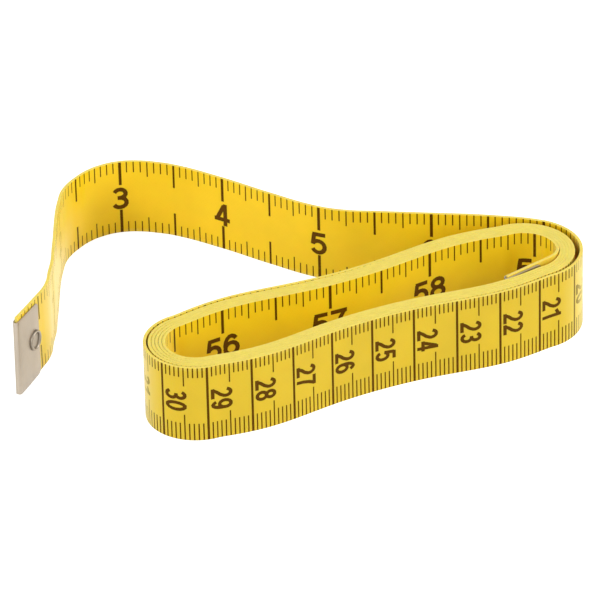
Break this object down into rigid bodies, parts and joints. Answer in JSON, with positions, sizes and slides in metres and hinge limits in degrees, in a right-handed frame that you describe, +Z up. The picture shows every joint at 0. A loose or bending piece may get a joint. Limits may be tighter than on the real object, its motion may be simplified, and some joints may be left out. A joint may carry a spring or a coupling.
{
  "type": "cloth tape measure",
  "caption": "Tailor's tape measure of coated cloth, standing on edge, wound in a long waisted loop with its free tail curled out behind and a riveted metal clip on each end.",
  "frame": {"origin": "middle of the footprint, on the plane that the tape's lower edge stands on", "axes": "+X along the wound loop towards the end that the tail leaves, +Y from the loop towards the tail behind it, +Z up across the tape's width"},
  "size_m": [0.1242, 0.09, 0.0185],
  "materials": {
    "tape_yellow": "yellow coated cloth with a satin face and dark brown print",
    "clip_metal": "plated sheet, dull and lightly brushed",
    "rivet_metal": "plated, pressed flat"
  },
  "bodies": {
    "wound_loop": {"tape_coil": "tape_yellow", "inner_end_clip": "clip_metal", "inner_end_rivet": "rivet_metal"},
    "free_tail": {"tape_tail": "tape_yellow", "tail_end_clip": "clip_metal", "tail_end_rivet": "rivet_metal"}
  },
  "joints": [
    {"name": "tail_swing", "type": "hinge", "parent": "wound_loop", "child": "free_tail", "pos_m": [0.05839, -0.02263, 0], "axis": [0, 0, -1], "range_deg": [0, 75]}
  ]
}
